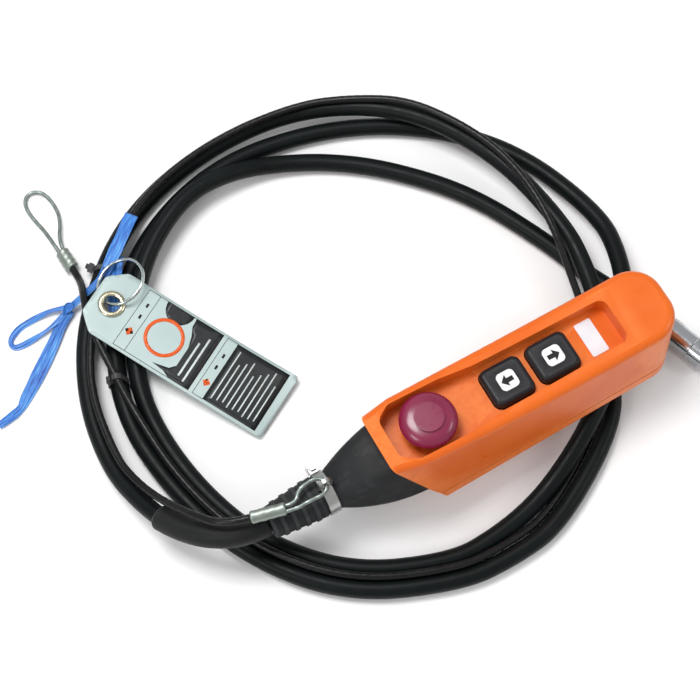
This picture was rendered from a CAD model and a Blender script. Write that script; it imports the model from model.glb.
import bmesh
import bpy
from math import cos, exp, pi, radians, sin
from mathutils import Matrix, Vector, noise


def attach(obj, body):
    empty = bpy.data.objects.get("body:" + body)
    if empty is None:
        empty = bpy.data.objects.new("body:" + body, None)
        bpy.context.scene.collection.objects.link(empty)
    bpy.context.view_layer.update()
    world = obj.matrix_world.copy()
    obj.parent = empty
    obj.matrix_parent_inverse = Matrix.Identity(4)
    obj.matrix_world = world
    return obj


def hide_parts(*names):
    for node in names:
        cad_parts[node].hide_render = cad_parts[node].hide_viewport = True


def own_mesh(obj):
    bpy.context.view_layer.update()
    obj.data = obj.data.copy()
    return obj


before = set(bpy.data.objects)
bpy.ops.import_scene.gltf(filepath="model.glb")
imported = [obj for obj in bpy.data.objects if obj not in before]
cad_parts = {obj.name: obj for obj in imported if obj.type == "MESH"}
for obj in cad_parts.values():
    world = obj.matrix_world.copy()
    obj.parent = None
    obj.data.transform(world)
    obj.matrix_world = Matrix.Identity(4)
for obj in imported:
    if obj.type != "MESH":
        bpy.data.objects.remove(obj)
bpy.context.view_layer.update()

MM = 0.001
UP = Vector((0, 0, 1))
FLOOR = -55.0                                  # height of the plane the coil lies on, mm
Z_CABLE, TAIL_X, BOOT_END_X = -13.0, -124.0, -140.0    # where the cable starts and leaves its boot, mm
COIL_X, COIL_Y = -33.0, 89.0                   # centre of the coil, mm
CABLE_R, ROPE_R, WIRE_R = 6.0, 2.5, 1.25       # radii of cable, rope and bare strand, mm


def point(x, y, z):
    """A place in the part's frame, from mm."""
    return Vector((x, y, z)) * MM


def over(x, y, h):
    """A point h above the plane of the coil."""
    return point(x, y, FLOOR + h)


def polar(angle, r, h):
    """A point of the coil: angle and distance from its centre, h above the plane."""
    return over(COIL_X + r * cos(radians(angle)), COIL_Y + r * sin(radians(angle)), h)


# ---------------------------------------------------------------- camera
TARGET = point(-36, 84, -40)
camera = bpy.data.objects.new("camera", bpy.data.cameras.new("camera"))
bpy.context.scene.collection.objects.link(camera)
AZIMUTH, ELEVATION, DISTANCE = radians(-29.6), radians(68.0), 1.1
back = Vector((sin(AZIMUTH) * cos(ELEVATION), -cos(AZIMUTH) * cos(ELEVATION), sin(ELEVATION)))
camera.location = TARGET + back * DISTANCE
camera.rotation_euler = (-back).to_track_quat("-Z", "Y").to_euler()
camera.data.sensor_width, camera.data.lens = 36.0, 87.03
camera.data.clip_start, camera.data.clip_end = 0.05, 20.0
bpy.context.scene.camera = camera
bpy.context.scene.view_settings.view_transform = "Standard"


# ---------------------------------------------------------------- materials
class Shader:
    """A principled material that is built up one effect at a time, all in object coordinates."""

    def __init__(self, name, **sockets):
        self.material = bpy.data.materials.new(name)
        self.material.use_nodes = True
        self.tree = self.material.node_tree
        self.out = self.tree.nodes["Principled BSDF"]
        self.normal = None
        self.place = self.add("ShaderNodeTexCoord").outputs["Object"]
        for key, value in sockets.items():
            socket = self.out.inputs[key.replace("_", " ")]
            socket.default_value = (*value, 1.0) if isinstance(value, tuple) else value

    def add(self, kind, **values):
        node = self.tree.nodes.new(kind)
        for key, value in values.items():
            setattr(node, key, value)
        return node

    def link(self, a, b):
        self.tree.links.new(a, b)

    def stretched(self, scale, source=None):
        """The place, stretched along its axes."""
        node = self.add("ShaderNodeMapping")
        node.inputs["Scale"].default_value = scale
        self.link(source or self.place, node.inputs["Vector"])
        return node.outputs["Vector"]

    def noise(self, scale, detail=3.0, rough=0.55, place=None):
        node = self.add("ShaderNodeTexNoise")
        node.inputs["Scale"].default_value = scale
        node.inputs["Detail"].default_value = detail
        node.inputs["Roughness"].default_value = rough
        self.link(place or self.place, node.inputs["Vector"])
        return node.outputs["Fac"]

    def ramp(self, fac, *stops):
        """A smooth change between (place, colour or grey) stops."""
        node = self.add("ShaderNodeValToRGB")
        band = node.color_ramp
        while len(band.elements) < len(stops):
            band.elements.new(0.5)
        for element, (at, colour) in zip(band.elements, stops):
            element.position = at
            rgb = colour if isinstance(colour, tuple) else (colour,) * 3
            element.color = (*rgb, 1.0)
        self.link(fac, node.inputs["Fac"])
        return node.outputs["Color"]

    def mix(self, fac, a, b, blend="MIX"):
        node = self.add("ShaderNodeMix", data_type="RGBA", blend_type=blend)
        for socket, value in ((node.inputs["Factor"], fac), (node.inputs[6], a), (node.inputs[7], b)):
            if isinstance(value, bpy.types.NodeSocket):
                self.link(value, socket)
            else:
                socket.default_value = (*value, 1.0) if isinstance(value, tuple) else value
        return node.outputs[2]

    def colour(self, value):
        self.link(value, self.out.inputs["Base Color"])
        return self

    def roughness(self, value):
        self.link(value, self.out.inputs["Roughness"])
        return self

    def bump(self, height, strength, distance):
        """Adds relief of a given depth in mm."""
        node = self.add("ShaderNodeBump")
        node.inputs["Strength"].default_value = strength
        node.inputs["Distance"].default_value = distance * MM
        self.link(height, node.inputs["Height"])
        if self.normal:
            self.link(self.normal, node.inputs["Normal"])
        self.normal = node.outputs["Normal"]
        self.link(self.normal, self.out.inputs["Normal"])
        return self

    def edge(self, low, high):
        """1 on outside corners, 0 on flat faces."""
        return self.ramp(self.add("ShaderNodeNewGeometry").outputs["Pointiness"], (low, 0.0), (high, 1.0))


def shell_material():
    """Moulded orange plastic: slight blotches, grime, paler rubbed corners and long scratches."""
    s = Shader("orange shell", Specular_IOR_Level=0.35, Coat_Weight=0.08, Coat_Roughness=0.15)
    blotch = s.ramp(s.noise(22, 4), (0.3, (0.64, 0.102, 0.004)), (0.7, (0.70, 0.128, 0.006)))
    grime = s.ramp(s.noise(60, 6, 0.7), (0.60, 0.0), (0.82, 0.22))
    base = s.mix(grime, blotch, (0.50, 0.10, 0.018))
    worn = s.mix(s.noise(260, 4), (0.0, 0.0, 0.0), s.edge(0.515, 0.57))
    s.colour(s.mix(worn, base, (0.82, 0.23, 0.05)))
    s.roughness(s.ramp(s.noise(75, 5), (0.3, 0.27), (0.75, 0.42)))
    s.bump(s.noise(1500, 2), 0.20, 0.05)
    scratch = s.ramp(s.noise(90, 2, 0.4, s.stretched((1, 14, 6))), (0.70, 0.0), (0.74, 1.0))
    return s.bump(scratch, 0.10, 0.06).material


def moulded(name, dark, light, rough, grain=1100, dust=0.25, specular=0.20):
    """Black moulded nylon or rubber: eroded grain, paler where it is rubbed, dust in the hollows."""
    s = Shader(name, Specular_IOR_Level=specular)
    base = s.ramp(s.noise(38, 5), (0.3, dark), (0.75, light))
    dusty = s.ramp(s.noise(110, 6, 0.75), (0.55, 0.0), (0.8, dust))
    base = s.mix(dusty, base, tuple(3.2 * c + 0.02 for c in light))
    s.colour(s.mix(s.edge(0.52, 0.62), base, tuple(2.4 * c + 0.01 for c in light)))
    s.roughness(s.ramp(s.noise(90, 4), (0.3, rough[0]), (0.7, rough[1])))
    s.bump(s.noise(grain, 3), 0.35, 0.08)
    return s.bump(s.noise(140, 3), 0.12, 0.15).material


def jacket_material():
    """Smooth black cable jacket, scuffed in places."""
    s = Shader("cable jacket", Specular_IOR_Level=0.13)
    base = s.ramp(s.noise(30, 4), (0.3, (0.0022, 0.0034, 0.0036)), (0.7, (0.0050, 0.0072, 0.0074)))
    scuff = s.ramp(s.noise(210, 5, 0.7), (0.60, 0.0), (0.80, 0.40))
    s.colour(s.mix(scuff, base, (0.018, 0.024, 0.024)))
    s.roughness(s.ramp(s.noise(160, 4), (0.3, 0.34), (0.75, 0.50)))
    s.bump(s.noise(900, 3), 0.22, 0.05)
    return s.bump(s.noise(55, 2), 0.10, 0.30).material


def metal(name, tint, rough, mark=(1, 1, 1), stain=(0.32, 0.29, 0.25), dull=0.3):
    """Plated or drawn metal with fine marks and a dull bloom."""
    s = Shader(name, Metallic=1.0)
    bloom = s.ramp(s.noise(170, 5, 0.65), (0.45, 0.0), (0.8, dull))
    s.colour(s.mix(bloom, tint, stain))
    s.roughness(s.ramp(s.noise(420, 4, 0.6, s.stretched(mark)), (0.3, rough[0]), (0.75, rough[1])))
    s.bump(s.noise(1300, 2, 0.5, s.stretched(mark)), 0.18, 0.03)
    return s.bump(s.noise(230, 3), 0.06, 0.05).material


def glossy(name, dark, light, rough, coat):
    """Polished moulded plastic or enamel."""
    s = Shader(name, Specular_IOR_Level=0.5, Coat_Weight=coat, Coat_Roughness=0.10)
    s.colour(s.ramp(s.noise(55, 4), (0.3, dark), (0.75, light)))
    s.roughness(s.ramp(s.noise(120, 4), (0.3, rough[0]), (0.75, rough[1])))
    s.bump(s.noise(1300, 2), 0.12, 0.04)
    return s.bump(s.noise(70, 2), 0.05, 0.2).material


def ribbon_material():
    """Stretched film tape: fibres along its length, milky where it is creased."""
    s = Shader("film ribbon", Specular_IOR_Level=0.5, Transmission_Weight=0.10, Sheen_Weight=0.15)
    uv = s.add("ShaderNodeUVMap").outputs["UV"]
    fibre = s.noise(1.0, 4, 0.6, s.stretched((0.5, 4.5, 1), uv))
    fine = s.noise(1.0, 3, 0.6, s.stretched((1.6, 17, 1), uv))
    body = s.ramp(fibre, (0.34, (0.014, 0.085, 0.42)), (0.52, (0.040, 0.205, 0.62)),
                  (0.68, (0.13, 0.43, 0.85)))
    s.colour(s.mix(s.ramp(fine, (0.58, 0.0), (0.76, 0.45)), body, (0.36, 0.66, 0.94)))
    s.roughness(s.ramp(fine, (0.3, 0.26), (0.7, 0.42)))
    s.bump(fibre, 0.55, 0.35)
    return s.bump(fine, 0.40, 0.12).material


def card_material():
    """Pale laminated card, a little wavy and smudged."""
    s = Shader("tag card", Specular_IOR_Level=0.40, Coat_Weight=0.25, Coat_Roughness=0.14)
    base = s.ramp(s.noise(28, 4), (0.3, (0.36, 0.46, 0.455)), (0.75, (0.43, 0.52, 0.51)))
    s.colour(s.mix(s.ramp(s.noise(150, 5, 0.7), (0.62, 0.0), (0.85, 0.30)), base, (0.42, 0.45, 0.43)))
    s.roughness(s.ramp(s.noise(90, 4), (0.3, 0.28), (0.7, 0.42)))
    s.bump(s.noise(700, 4, 0.6), 0.10, 0.05)
    return s.bump(s.noise(24, 2), 0.20, 0.6).material


def print_material(name, dark, light):
    """Ink on the laminated card: slightly uneven, under the same gloss."""
    s = Shader(name, Specular_IOR_Level=0.25, Coat_Weight=0.12, Coat_Roughness=0.14)
    s.colour(s.ramp(s.noise(420, 5, 0.7), (0.35, dark), (0.75, light)))
    s.roughness(s.ramp(s.noise(120, 3), (0.3, 0.30), (0.7, 0.42)))
    return s.bump(s.noise(24, 2), 0.20, 0.6).material


def sticker_material():
    """Plain white film label."""
    s = Shader("blank sticker", Specular_IOR_Level=0.5)
    s.colour(s.ramp(s.noise(90, 4), (0.3, (0.66, 0.67, 0.72)), (0.7, (0.76, 0.76, 0.79))))
    s.roughness(s.ramp(s.noise(200, 3), (0.3, 0.32), (0.7, 0.48)))
    return s.bump(s.noise(800, 3), 0.12, 0.04).material


CORE_SPREAD = 19.0                             # how far the outermost cores run to each side, mm


def core_material():
    """Insulated cores, a different colour to each place across the cable."""
    s = Shader("core insulation", Specular_IOR_Level=0.5)
    side = s.add("ShaderNodeSeparateXYZ")
    s.link(s.place, side.inputs["Vector"])
    across = s.add("ShaderNodeMapRange")
    across.inputs["From Min"].default_value = -CORE_SPREAD * MM
    across.inputs["From Max"].default_value = CORE_SPREAD * MM
    s.link(side.outputs["Y"], across.inputs["Value"])
    hues = s.ramp(across.outputs["Result"], (0.0, (0.35, 0.02, 0.02)), (0.3, (0.60, 0.60, 0.58)),
                  (0.6, (0.02, 0.06, 0.30)), (0.9, (0.02, 0.02, 0.02)))
    s.colour(s.mix(s.noise(300, 3), hues, (0.2, 0.2, 0.2), "SOFT_LIGHT"))
    s.roughness(s.ramp(s.noise(160, 3), (0.3, 0.35), (0.7, 0.5)))
    return s.bump(s.noise(900, 2), 0.15, 0.03).material


ORANGE = shell_material()
RUBBER = moulded("black rubber", (0.010, 0.011, 0.012), (0.020, 0.021, 0.022), (0.50, 0.68), dust=0.30)
NYLON = moulded("black nylon", (0.008, 0.008, 0.009), (0.016, 0.016, 0.017), (0.38, 0.52), dust=0.15)
SHRINK = moulded("shrink sleeve", (0.006, 0.0065, 0.007), (0.012, 0.0125, 0.013), (0.46, 0.60), 700, 0.12)
BUTTON = moulded("button cap", (0.010, 0.010, 0.0115), (0.019, 0.019, 0.021), (0.33, 0.46), 1400, 0.12)
TIE = moulded("tie nylon", (0.008, 0.008, 0.009), (0.015, 0.015, 0.016), (0.30, 0.42), 800, 0.10)
JACKET = jacket_material()
ROPE_COAT = moulded("rope coat", (0.005, 0.005, 0.0055), (0.010, 0.0105, 0.011), (0.24, 0.36), 900, 0.12)
ZINC = metal("zinc steel", (0.48, 0.49, 0.48), (0.26, 0.44))
SPRING = metal("spring steel", (0.52, 0.52, 0.53), (0.20, 0.34), dull=0.15)
STRAND = metal("steel strand", (0.25, 0.29, 0.27), (0.34, 0.54), stain=(0.17, 0.18, 0.16), dull=0.5)
FERRULE = metal("pressed ferrule", (0.30, 0.34, 0.31), (0.40, 0.58), stain=(0.22, 0.23, 0.20), dull=0.55)
BRASS = metal("contact brass", (0.72, 0.50, 0.20), (0.24, 0.40), stain=(0.36, 0.25, 0.12))
EYELET = metal("eyelet brass", (0.56, 0.52, 0.37), (0.16, 0.30), stain=(0.34, 0.27, 0.14), dull=0.6)
CHROME = metal("plug chrome", (0.52, 0.54, 0.56), (0.10, 0.22), (1, 1, 6), (0.42, 0.42, 0.42), 0.3)
RING = metal("ring steel", (0.56, 0.63, 0.62), (0.14, 0.28), dull=0.25)
MUSHROOM = glossy("red mushroom", (0.17, 0.008, 0.040), (0.22, 0.012, 0.055), (0.24, 0.36), 0.2)
INSERT = glossy("white insert", (0.70, 0.72, 0.73), (0.78, 0.79, 0.79), (0.30, 0.42), 0.1)
CARD = card_material()
INK = print_material("tag black", (0.006, 0.008, 0.009), (0.016, 0.018, 0.019))
INK_ORANGE = print_material("tag orange", (0.62, 0.085, 0.008), (0.70, 0.115, 0.015))
INK_WHITE = print_material("tag pale", (0.50, 0.56, 0.56), (0.64, 0.69, 0.68))
RIBBON = ribbon_material()
STICKER = sticker_material()
CORES = core_material()

NODE_MATERIALS = {
    ORANGE: ["front_cover", "rear_shell"],
    RUBBER: ["cable_boot", "housing_gasket"],
    NYLON: ["cable_gland", "switch_block", "stop_block", "stop_collar", "stop_nut", "stop_stem",
            "plug_insert"],
    BUTTON: ["up_button", "down_button"],
    INSERT: ["up_arrow_plate", "down_arrow_plate"],
    MUSHROOM: ["stop_head"],
    STICKER: ["rating_label"],
    JACKET: ["cable_tail"],
    CORES: ["cable_cores"],
    ZINC: ["housing_screws", "boot_band", "band_bolt", "band_nut", "terminal_screws", "block_screw"],
    SPRING: ["up_spring", "down_spring", "stop_spring"],
    BRASS: ["fixed_contacts", "up_bridge", "down_bridge", "plug_pins"],
    CHROME: ["plug_clamp_nut", "plug_shell", "plug_ring"],
    TIE: ["cable_ties"],
}
for material, nodes in NODE_MATERIALS.items():
    for node in nodes:
        for place in bpy.data.objects[node].material_slots:
            place.material = material

# each return spring shortens, from its seat up, by the travel of its button
BUTTON_TRAVEL, STOP_TRAVEL = 4.0, 5.0          # mm
for spring, joint, travel in (("up_spring", "up_press", BUTTON_TRAVEL),
                              ("down_spring", "down_press", BUTTON_TRAVEL),
                              ("stop_spring", "stop_press", STOP_TRAVEL)):
    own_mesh(bpy.data.objects[spring])


# ---------------------------------------------------------------- making pieces
def add_object(name, data, material, body="station"):
    """Puts a mesh or curve in the scene, on one of the moving bodies."""
    piece = bpy.data.objects.new(name, data)
    bpy.context.scene.collection.objects.link(piece)
    data.materials.append(material)
    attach(piece, body)
    return piece


def add_mesh(name, points, faces, material, body="station", uvs=None):
    """A smooth shaded mesh piece, with uvs one to a point."""
    mesh = bpy.data.meshes.new(name)
    mesh.from_pydata([tuple(p) for p in points], [], faces)
    if uvs:
        layer = mesh.uv_layers.new(name="UVMap")
        for loop in mesh.loops:
            layer.data[loop.index].uv = uvs[loop.vertex_index]
    for face in mesh.polygons:
        face.use_smooth = True
    mesh.update()
    return add_object(name, mesh, material, body)


def route_curve(name, points, radius=0.0):
    """A smooth cord line with the route's points as its control points."""
    curve = bpy.data.curves.new(name, "CURVE")
    curve.dimensions = "3D"
    spline = curve.splines.new("NURBS")
    spline.points.add(len(points) - 1)
    for control, p in zip(spline.points, points):
        control.co = (*p, 1.0)
    spline.order_u = 3
    spline.use_endpoint_u = True
    spline.resolution_u = 14
    curve.bevel_depth = radius
    curve.bevel_resolution = 7
    curve.use_fill_caps = True
    return curve


def line_of(points):
    """The points of a route's smooth line."""
    curve = route_curve("line", points)
    helper = bpy.data.objects.new("line", curve)
    bpy.context.scene.collection.objects.link(helper)
    mesh = bpy.data.meshes.new_from_object(helper.evaluated_get(bpy.context.evaluated_depsgraph_get()))
    line = [v.co.copy() for v in mesh.vertices]
    bpy.data.objects.remove(helper)
    bpy.data.curves.remove(curve)
    bpy.data.meshes.remove(mesh)
    return line


def spaced(line, step):
    """The same line with points an even step apart along it."""
    out, left = [line[0]], step
    for a, b in zip(line, line[1:]):
        run = (b - a).length
        while run >= left > 0:
            a = a + (b - a).normalized() * left
            out.append(a)
            run, left = (b - a).length, step
        left -= run
    if (out[-1] - line[-1]).length > step * 0.3:
        out.append(line[-1])
    return out


def length_of(line):
    """Length of a line, in metres."""
    return sum((b - a).length for a, b in zip(line, line[1:]))


def frames(line):
    """Each point with its direction and two normals that do not twist."""
    out, side = [], None
    for i, p in enumerate(line):
        along = (line[min(i + 1, len(line) - 1)] - line[max(i - 1, 0)]).normalized()
        side = along.orthogonal() if side is None else side
        side = (side - along * side.dot(along)).normalized()
        out.append((p, along, side, along.cross(side)))
    return out


def tube(name, line, radius, material, sides):
    """A tube along a line. radius(distance along it, angle round it) is in mm."""
    points, faces, uvs, run = [], [], [], 0.0
    rings = frames(line)
    for i, (p, along, a, b) in enumerate(rings):
        run += (p - rings[i - 1][0]).length if i else 0.0
        for k in range(sides):
            t = 2 * pi * k / sides
            r = radius(run / MM, t) * MM
            points.append(p + a * (r * cos(t)) + b * (r * sin(t)))
            uvs.append((run * 100, k / sides))
    for i in range(len(rings) - 1):
        for k in range(sides):
            j = (k + 1) % sides
            faces.append((i * sides + k, i * sides + j, (i + 1) * sides + j, (i + 1) * sides + k))
    last = (len(rings) - 1) * sides
    faces.append(tuple(reversed(range(sides))))
    faces.append(tuple(range(last, last + sides)))
    return add_mesh(name, points, faces, material, uvs=uvs)


def lathe(name, origin, u, v, n, profile, material, body, sides=48):
    """A turned piece about n through origin from a closed profile of (radius, height) corners in mm."""
    points, faces = [], []
    for k in range(sides):
        t = 2 * pi * k / sides
        out = u * cos(t) + v * sin(t)
        points += [origin + out * (r * MM) + n * (h * MM) for r, h in profile]
    m = len(profile)
    for k in range(sides):
        j = (k + 1) % sides
        for i in range(m):
            q = (i + 1) % m
            faces.append((k * m + i, j * m + i, j * m + q, k * m + q))
    return add_mesh(name, points, faces, material, body)


def bell(x, centre, width):
    """A smooth bump, 1 at its centre."""
    return exp(-((x - centre) / width) ** 2)


# ---------------------------------------------------------------- the cable and its coil
# each turn: angle, distance from the coil's centre, height above its plane
TURN_1 = [(162, 175.5, 6), (144, 176, 6.5), (120, 178.5, 6.5), (96, 178, 6), (72, 181, 10), (48, 176, 21),
          (24, 168.5, 20), (0, 164, 21.5), (348, 163.5, 19.5), (336, 166.5, 12.5), (324, 172, 6.5),
          (312, 178, 6), (288, 178.5, 6), (276, 174.5, 6), (264, 172, 6), (240, 165.5, 6), (216, 155.5, 6),
          (192, 149.6, 6)]
TURN_2 = [(168, 155, 6.5), (144, 158.2, 6.5), (120, 160, 6), (96, 162.5, 6), (72, 163, 6), (48, 171.5, 6),
          (24, 184.5, 7), (0, 192, 13), (348, 188, 19.5), (336, 181, 21.3), (324, 171.5, 21.3),
          (312, 164, 19.5), (300, 160.3, 13), (288, 159, 6.8), (276, 158, 6), (264, 158.3, 6),
          (240, 152, 6), (216, 142.8, 6), (192, 137, 6)]
TURN_3 = [(168, 140.5, 6), (150, 142.5, 7.6), (134, 146.6, 14.8), (120, 150.3, 17.2), (106, 153, 18.4),
          (94, 149, 15), (82, 144.5, 8), (66, 138, 6), (48, 134, 6), (24, 139, 6), (0, 153, 6)]
CABLE_IN = [point(TAIL_X, 0, Z_CABLE), point(-151.5, 0, Z_CABLE), point(-173, 10, -16.5),
            point(-189.5, 28.5, -25), point(-200.5, 55, -36), point(-207.5, 92, -46.5)]
CABLE_OUT = [over(129, 60, 6), over(140.5, 34, 7), over(150, 10, 9.4), over(157.5, -13, 9.4)]
cable_route = CABLE_IN + [polar(*p) for p in TURN_1 + TURN_2 + TURN_3] + CABLE_OUT
cable_line = line_of(cable_route)
cable = add_object("control_cable", route_curve("control_cable", cable_route, CABLE_R * MM), JACKET)
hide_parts("pendant_cable")

# the moulded sleeve over the first bend: faint ripples, a rolled lip and a step down to the cable
SLEEVE_R, SLEEVE_END_R = 8.2, 6.45
sleeve_end = (CABLE_IN[3] + CABLE_IN[4]) / 2
last = min(range(len(cable_line)), key=lambda i: (cable_line[i] - sleeve_end).length)
sleeve_line = spaced([p for p in cable_line[:last + 1] if p.x < BOOT_END_X * MM], 0.0012)
sleeve_length = length_of(sleeve_line) / MM


def sleeve_radius(s, t):
    """Shrunk rubber: rippled, with a lip before the step down to the cable."""
    ripple = 0.10 * noise.noise(Vector((s * 0.10, 2.2 * cos(t), 2.2 * sin(t))))
    lip = 0.25 * bell(s, sleeve_length - 2.2, 1.2)
    end = (SLEEVE_R - SLEEVE_END_R) * max(0.0, 1.0 - (sleeve_length - s) / 1.6) ** 2
    return SLEEVE_R - 0.1 + ripple + lip - end


sleeve = tube("shrink_sleeve", sleeve_line, sleeve_radius, SHRINK, sides=40)
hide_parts("cable_sleeve")

# ---------------------------------------------------------------- the strain rope, its ferrules and loops
ROPE_IN = [point(-150, 4, 3.5), point(-166, 8.5, 2.0), point(-178, 25, -7), point(-190.5, 49, -22),
           point(-197.5, 70, -32.5), point(-201.5, 92, -37.5)]
ROPE_TURN = [(162, 171, 14.2), (148, 169.6, 14), (136, 170.8, 14.6), (124, 173.5, 15), (108, 176, 14.9),
             (90, 176, 15.5), (72, 178, 19.8), (60, 176.5, 24.8), (48, 177, 28.8), (36, 172, 29),
             (24, 167.6, 29.4), (12, 160.8, 29.9), (0, 154.8, 28.6), (348, 152.6, 18.5), (336, 157.2, 9.5),
             (324, 162.5, 3.5), (312, 169, 3), (288, 169.3, 5), (276, 166.3, 10.2), (264, 165.1, 13),
             (240, 158.6, 13), (216, 149.1, 13), (192, 143.3, 13), (168, 147.5, 13.4)]
ROPE_OUT = [polar(157, 156, 18.5), polar(147, 170, 19.8), over(-170.5, 201, 18.5), over(-167.3, 212, 11.5),
            over(-165.9, 221.5, 5), over(-166.4, 230, 5)]
rope_route = ROPE_IN + [polar(*p) for p in ROPE_TURN] + ROPE_OUT
rope_line = spaced(line_of(rope_route), 0.0014)


def rope_radius(s, t):
    """A coated rope: the lay of the strands shows faintly through the coating."""
    return ROPE_R * (0.985 + 0.022 * cos(6 * t - 2 * pi * s / 5.5))


rope = tube("strain_rope", rope_line, rope_radius, ROPE_COAT, sides=30)
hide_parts("support_rope")


def pressed_ferrule(name, start, along, length, r, node):
    """An oval sleeve with rounded ends and the flats and grooves of the crimping tool."""
    line = [start + along * (length * MM * k / 60) for k in range(61)]

    def radius(s, t):
        rim = 1 - 0.22 * (max(0.0, 1 - s / 1.1) ** 2 + max(0.0, 1 - (length - s) / 1.1) ** 2)
        press = sum(bell(s, length * f, length * 0.085) for f in (0.22, 0.5, 0.78))
        flat = 0.10 * press * max(0.0, abs(cos(t)) - 0.35)
        seam = 0.035 * bell(abs(t - pi / 2), 0, 0.12) + 0.035 * bell(abs(t - 3 * pi / 2), 0, 0.12)
        return r * (rim - flat - seam) * (1 + 0.14 * cos(t) ** 2)

    piece = tube(name, line, radius, FERRULE, sides=48)
    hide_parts(node)
    return piece


low_start, low_along = rope_route[0], (rope_route[0] - rope_route[1]).normalized()
top_start, top_along = rope_route[-1], (rope_route[-1] - rope_route[-2]).normalized()
LOW_LENGTH, TOP_LENGTH = 22.0, 15.0            # ferrules, mm
low_ferrule = pressed_ferrule("rope_ferrule_low", low_start, low_along, LOW_LENGTH, 3.6, "lower_ferrule")
top_ferrule = pressed_ferrule("rope_ferrule_top", top_start, top_along, TOP_LENGTH, 4.4, "upper_ferrule")


def wire_loop(name, end, along, inner, node):
    """A bare strand loop that leaves a ferrule and comes back into it."""
    side, out = UP.cross(along).normalized() * (1.7 * MM), end + along * (7 * MM)
    route = [end + side, out + side] + inner + [out - side, end - side]
    line = spaced(line_of(route), 0.0004)

    def strands(s, t):
        return WIRE_R * (0.93 + 0.09 * abs(cos(3 * t - pi * s / 7.0)))

    piece = tube(name, line, strands, STRAND, sides=36)
    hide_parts(node)
    return piece


LUG_X, LUG_Z = -101.0, 6.5                     # far side and height of the loop round the band's eye, mm
low_loop = wire_loop("rope_loop_low", low_start + low_along * (LOW_LENGTH * MM), low_along,
                     [point(-117, 5, LUG_Z), point(LUG_X, 6, LUG_Z), point(LUG_X, -6, LUG_Z),
                      point(-117, -5, LUG_Z)], "lower_loop")
top_loop = wire_loop("rope_loop_top", top_start + top_along * (TOP_LENGTH * MM), top_along,
                     [over(-170.5, 266, 3), over(-173.6, 280, 2.2), over(-173.8, 292, 2),
                      over(-167.5, 298, 2), over(-158.8, 294, 2), over(-156, 282, 2.2),
                      over(-157, 269, 3)], "upper_loop")

# ---------------------------------------------------------------- film ribbon tied round the coil
STRAP_W, FILM_T = 9.0, 0.16
STRAP = [over(-115.2, 240.4, 17.4), over(-120.5, 236.4, 18.0), over(-130.7, 227.2, 18.5),
         over(-143.7, 216.1, 18.8), over(-149, 211.8, 17.8), over(-155, 208.5, 15.2), over(-160, 207.6, 14.0),
         over(-166, 206.4, 12.6), over(-171, 206, 10.0), over(-177, 205.8, 6.5), over(-183, 205, 4.4)]
BOW = [over(-180, 206, 4.6), over(-190, 210.5, 3.2), over(-200, 211.5, 1.9), over(-210, 211, 1.6),
       over(-217, 210, 1.6), over(-224, 206.5, 1.5), over(-226, 203, 1.4), over(-225, 199, 1.4),
       over(-220, 198, 1.5), over(-213, 198.5, 1.6), over(-202, 199.5, 1.9), over(-191, 201.5, 2.9),
       over(-181, 204.6, 4.6)]
TAIL = [over(-181, 203.8, 4.0), over(-190.5, 199, 2.7), over(-200, 190, 1.9), over(-212, 180.5, 1.7),
        over(-225.5, 169.5, 1.7), over(-235, 162, 1.6), over(-239, 158.5, 1.5), over(-248, 156, 1.4),
        over(-257, 155, 1.3)]
UNDER_TAG = [over(-138, 219, 14.6), over(-149, 200, 14.8), over(-157.5, 182, 15.2), over(-163, 169, 15.0)]
KNOT = [over(-185, 202.5, 3.8), over(-183.5, 206, 5.6), over(-180.5, 207.6, 6.3), over(-178.6, 205, 6.4),
        over(-180.5, 202.2, 5.2), over(-184.5, 203, 3.9)]


def ribbon(name, route, width, roll, crease, seed, pleats=2.6):
    """Gathered film laid along a route.

    Along it, f runs from 0 to 1: width(f) is in mm and roll(f) tips the film. crease is the depth of its
    pleats, mm.
    """
    line = spaced(line_of(route), 0.0010)
    rings, points, faces, uvs, across = frames(line), [], [], [], 22
    total, run = length_of(line), 0.0
    for i, (p, along, _, _) in enumerate(rings):
        run += (p - rings[i - 1][0]).length if i else 0.0
        flat = UP.cross(along).normalized()
        flat.rotate(Matrix.Rotation(roll(run / total), 3, along))
        rise = along.cross(flat)
        drift = 1.4 * noise.noise(Vector((run * 16, seed, 0)))
        for k in range(across + 1):
            c = k / across - 0.5
            pleat = crease * (0.6 * sin(2 * pi * pleats * c + 3 * drift + seed)
                              + 0.8 * noise.noise(Vector((run * 38 + seed, c * 4.2 + drift, seed))))
            edge = 1 + 0.10 * noise.noise(Vector((run * 70, seed, c)))
            points.append(p + flat * (c * width(run / total) * MM * edge) + rise * (pleat * MM))
            uvs.append((run * 100, k / across))
    m = across + 1
    for i in range(len(rings) - 1):
        for k in range(across):
            faces.append((i * m + k, (i + 1) * m + k, (i + 1) * m + k + 1, i * m + k + 1))
    piece = add_mesh(name, points, faces, RIBBON, uvs=uvs)
    skin = piece.modifiers.new("film", "SOLIDIFY")
    skin.thickness, skin.offset = FILM_T * MM, 0.0
    return piece, line


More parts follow.
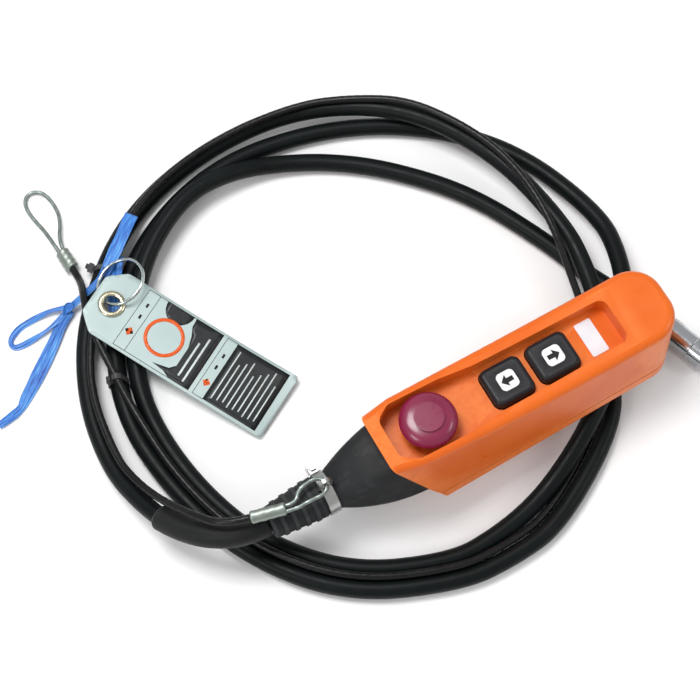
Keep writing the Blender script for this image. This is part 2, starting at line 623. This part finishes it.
band, band_line = ribbon("ribbon_band", STRAP,
                         lambda f: STRAP_W - 4.4 * min(1.0, max(0.0, f - 0.35) / 0.35),
                         lambda f: 0.10 * sin(f * 9), 0.35, 3.0)
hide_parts("coil_tie")
bow, _ = ribbon("ribbon_bow", BOW, lambda f: 4.2 - 1.0 * bell(f, 0.5, 0.06), lambda f: 0.5 * sin(f * 14),
                0.45, 7.0, 1.6)
loose, loose_line = ribbon("ribbon_tail", TAIL,
                           lambda f: 5.0 + 4.2 * bell(f, 0.45, 0.38) - 1.5 * bell(f, 0.8, 0.05),
                           lambda f: 0.12 * sin(f * 8), 0.65, 11.0)
under, _ = ribbon("ribbon_under", UNDER_TAG, lambda f: STRAP_W, lambda f: 0.1, 0.3, 5.0)
knot, _ = ribbon("ribbon_knot", KNOT, lambda f: 4.4, lambda f: 0.5 + 0.9 * f, 0.4, 23.0, 1.5)

# ---------------------------------------------------------------- tag, eyelet and split ring
TAG_U = Vector((70.5, -122.0, -23.0)).normalized()
TAG_V = UP.cross(TAG_U).normalized()
TAG_N = TAG_U.cross(TAG_V).normalized()
EYE = over(-157, 185, 25)
TAG_LENGTH, TAG_HALF_W, EYE_IN, TAG_T = 128.5, 24.0, 13.5, 0.9      # lengths are from the eyelet's centre
TAG_HOLE_R = 6.6
SAG, CORNER_LIFT, CORNER_FROM = 1.3, 1.6, 85


def tag_place(u, v, h):
    """A place on the card: it sags a little along its length and one far corner lifts."""
    sag = -SAG * sin(pi * min(max((u + EYE_IN) / (TAG_LENGTH + EYE_IN), 0), 1))
    corner = CORNER_LIFT * max(0.0, (u - CORNER_FROM) / (TAG_LENGTH - CORNER_FROM)) ** 2 * (v / TAG_HALF_W)
    return EYE + TAG_U * (u * MM) + TAG_V * (v * MM) + TAG_N * ((h + sag + corner) * MM)


def rounded_corners(corners, r, steps=6):
    """The same outline with its corners rounded, in mm."""
    out, count = [], len(corners)
    for i, c in enumerate(corners):
        c, a, b = Vector(c), Vector(corners[i - 1]), Vector(corners[(i + 1) % count])
        p, q = c + (a - c).normalized() * r, c + (b - c).normalized() * r
        for k in range(steps + 1):
            t = k / steps
            out.append(p.lerp(c, t).lerp(c.lerp(q, t), t))
    return out


def ring_outline(u, v, r, count=64):
    """A circle on the card, as an outline."""
    return [Vector((u + r * cos(2 * pi * k / count), v + r * sin(2 * pi * k / count))) for k in range(count)]


def sheet_on_tag(name, outlines, height, material, thickness, cell=4.0):
    """Flat shape on the card, cut into small cells so that it follows the card's sag."""
    mesh = bmesh.new()
    edges = []
    for outline in outlines:
        ring = [mesh.verts.new((p[0], p[1], 0)) for p in outline]
        edges += [mesh.edges.new((a, b)) for a, b in zip(ring, ring[1:] + ring[:1])]
    bmesh.ops.triangle_fill(mesh, use_beauty=True, use_dissolve=False, edges=edges, normal=(0, 0, 1))
    for axis in (0, 1):
        low = min(v.co[axis] for v in mesh.verts)
        high = max(v.co[axis] for v in mesh.verts)
        steps = int((high - low) / cell)
        for k in range(1, steps + 1):
            where, normal = [0, 0, 0], [0, 0, 0]
            where[axis], normal[axis] = low + k * (high - low) / (steps + 1), 1
            bmesh.ops.bisect_plane(mesh, geom=mesh.verts[:] + mesh.edges[:] + mesh.faces[:],
                                   plane_co=where, plane_no=normal)
    for vert in mesh.verts:
        vert.co = tag_place(vert.co.x, vert.co.y, height)
    for face in mesh.faces:
        face.smooth = True
        if face.normal.dot(TAG_N) < 0:
            face.normal_flip()
    bmesh.ops.recalc_face_normals(mesh, faces=mesh.faces)
    data = bpy.data.meshes.new(name)
    mesh.to_mesh(data)
    mesh.free()
    piece = add_object(name, data, material, "tag")
    skin = piece.modifiers.new("card", "SOLIDIFY")
    skin.thickness, skin.offset = thickness * MM, 0.0
    return piece


def bar(u0, u1, v0, v1):
    """A box on the card, as an outline."""
    return [(u0, v0), (u1, v0), (u1, v1), (u0, v1)]


card_outline = rounded_corners([(-EYE_IN, -14), (-2, -TAG_HALF_W), (TAG_LENGTH, -TAG_HALF_W),
                                (TAG_LENGTH, TAG_HALF_W), (-2, TAG_HALF_W), (-EYE_IN, 14)], 2.5)
card = sheet_on_tag("tag_card", [card_outline, ring_outline(0, 0, TAG_HOLE_R)], 0.0, CARD, TAG_T)
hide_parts("warning_tag")

INK_H, OVER_INK_H, INK_T = TAG_T / 2 + 0.03, TAG_T / 2 + 0.07, 0.04
LINE = 0.35                                    # width of a ruled line, mm
# layout of the print, in mm along the card from the eyelet (U) and across it (V)
HEAD_U, PICTURE_U, BAND_U, BLOCK_U = (15, 24), (24, 72.5), (75.4, 83.6), (83.6, 123)
RULE_V, INK_V = (-22, 22.4), (-21.8, 22.2)
DASH_STEP, DASH_LONG = 9, 3


def frame_of(u0, u1, v0, v1):
    """Thin ruled lines round a box."""
    return [bar(u0, u1, v0, v0 + LINE), bar(u0, u1, v1 - LINE, v1), bar(u0, u0 + LINE, v0 + LINE, v1 - LINE),
            bar(u1 - LINE, u1, v0 + LINE, v1 - LINE)]


def print_on_tag(name, shapes, material, height=INK_H):
    """One thin piece of ink to each shape."""
    return [sheet_on_tag(f"{name}_{i}", [shape], height, material, INK_T) for i, shape in enumerate(shapes)]


def dashes(u0, u1, v, count=2):
    """Short strokes in a row across the card."""
    return [bar(u0, u1, v + k * DASH_STEP, v + k * DASH_STEP + DASH_LONG) for k in range(count)]


lines = frame_of(*HEAD_U, *RULE_V) + frame_of(*PICTURE_U, *RULE_V)[:2] + frame_of(*BAND_U, *RULE_V)
lines += dashes(19, 20.6, 1.5) + dashes(78.8, 80.4, -0.5)
print_on_tag("tag_rule", lines, INK)


def diamond(u, v, r):
    """A square on its corner, as an outline."""
    return [(u - r, v), (u, v - r), (u + r, v), (u, v + r)]


print_on_tag("tag_mark", [diamond(19.3, -9, 3.1), diamond(79.6, -11, 2.9)], INK_ORANGE)
RING_MARK, RING_MARK_R = (40.6, -0.4), (13.4, 11.0)                  # its middle, its outer and inner radius
sheet_on_tag("tag_ring", [ring_outline(*RING_MARK, r) for r in RING_MARK_R], OVER_INK_H, INK_ORANGE, INK_T)
# in the picture, half an ellipse that hangs from one edge, and a dark ground that sweeps in from the far side
LID_U, LID_R, LID_STEPS = 39.8, (10.2, 11.2), 24
lid = []
for k in range(LID_STEPS + 1):
    turn = radians(180 + 180 * k / LID_STEPS)
    lid.append((LID_U + LID_R[0] * cos(turn), INK_V[1] + LID_R[1] * sin(turn)))
sweep_in = [(51.5, INK_V[1]), (52, 16), (55, 10), (57.4, 2), (57.4, -12), (54, -16), (43, -18.5), (52, -19.5),
            (57, INK_V[0]), (PICTURE_U[1], INK_V[0]), (PICTURE_U[1], INK_V[1])]
print_on_tag("tag_block", [lid, sweep_in, bar(*BLOCK_U, *INK_V)], INK)
# rows with ragged ends stand in for lines of print
ROW_U, ROW_STEP, ROW_COUNT, ROW_HALF_W = (87.2, 88.1), 3.9, 9, 18.5
rows = [bar(61.2, 62.6, -17, 9), bar(65.6, 67.0, -19, 15)]
for k in range(ROW_COUNT):
    rows.append(bar(ROW_U[0] + k * ROW_STEP, ROW_U[1] + k * ROW_STEP,
                    -ROW_HALF_W + (k % 3) * 0.8, ROW_HALF_W - (k * 5 % 7) * 1.6))
print_on_tag("tag_row", rows, INK_WHITE, OVER_INK_H)

# the rolled eyelet: a lip on each face with a barrel between them
lip = [(5.6, -1.1), (6.3, -1.55), (7.4, -1.6), (8.6, -1.25), (9.0, -0.75), (8.7, -0.5), (6.65, -0.47)]
eyelet_profile = lip + [(r, -h) for r, h in reversed(lip)] + [(5.45, 0.55), (5.35, 0.0), (5.45, -0.55)]
eyelet = lathe("eyelet", EYE, TAG_U, TAG_V, TAG_N, eyelet_profile, EYELET, "tag")
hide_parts("tag_eyelet")

RING_R, RING_WIRE, RING_TILT = 16.5, 0.95, -30.0
ring_out = (TAG_U * -0.22 + TAG_V * 0.97).normalized()
ring_axis = Matrix.Rotation(radians(RING_TILT), 3, ring_out) @ TAG_N
ring_side = ring_axis.cross(ring_out)
ring_centre = EYE + ring_out * (RING_R * MM)
RING_TURNS, RING_START, RING_STEPS, RING_RISE = 1.94, 0.4, 260, 1.6
ring_line = []
for k in range(RING_STEPS + 1):
    t, h = 2 * pi * RING_TURNS * k / RING_STEPS + RING_START, -RING_RISE / 2 + RING_RISE * k / RING_STEPS
    ring_line.append(ring_centre + (ring_out * cos(t) + ring_side * sin(t)) * (RING_R * MM)
                     + ring_axis * (h * MM))
split_ring = tube("key_ring", ring_line, lambda s, t: RING_WIRE, RING, sides=20)
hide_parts("split_ring")

# ---------------------------------------------------------------- floor and light
FLOOR_SIZE = 4.0
floor_shader = Shader("studio floor", Roughness=0.75, Specular_IOR_Level=0.15)
floor_shader.colour(floor_shader.ramp(floor_shader.noise(6, 3), (0.3, 0.86), (0.7, 0.88)))
half = FLOOR_SIZE / 2
floor_mesh = bpy.data.meshes.new("studio_floor")
floor_z = (FLOOR - 0.02) * MM
floor_mesh.from_pydata([(-half, -half, floor_z), (half, -half, floor_z), (half, half, floor_z),
                        (-half, half, floor_z)], [], [(0, 1, 2, 3)])
floor_mesh.materials.append(floor_shader.material)
studio_floor = bpy.data.objects.new("studio_floor", floor_mesh)
bpy.context.scene.collection.objects.link(studio_floor)

world = bpy.data.worlds.new("studio")
world.use_nodes = True
world.node_tree.nodes["Background"].inputs["Color"].default_value = (1.0, 1.0, 1.0, 1.0)
world.node_tree.nodes["Background"].inputs["Strength"].default_value = 0.55
bpy.context.scene.world = world


def soft_light(name, place, aim, size, watts):
    """A rectangular studio light."""
    data = bpy.data.lights.new(name, "AREA")
    data.shape, data.size, data.size_y, data.energy = "RECTANGLE", size[0], size[1], watts
    lamp = bpy.data.objects.new(name, data)
    bpy.context.scene.collection.objects.link(lamp)
    lamp.location = place
    lamp.rotation_euler = (Vector(place) - Vector(aim)).to_track_quat("Z", "Y").to_euler()


soft_light("overhead", (-0.25, 0.45, 1.25), (0, 0.08, 0), (0.55, 0.55), 14.0)
soft_light("left_fill", (-1.2, -0.3, 0.8), (0, 0.05, 0), (0.5, 0.4), 5.0)
soft_light("right_fill", (1.1, -0.6, 0.9), (0, 0.05, 0), (0.5, 0.5), 3.5)
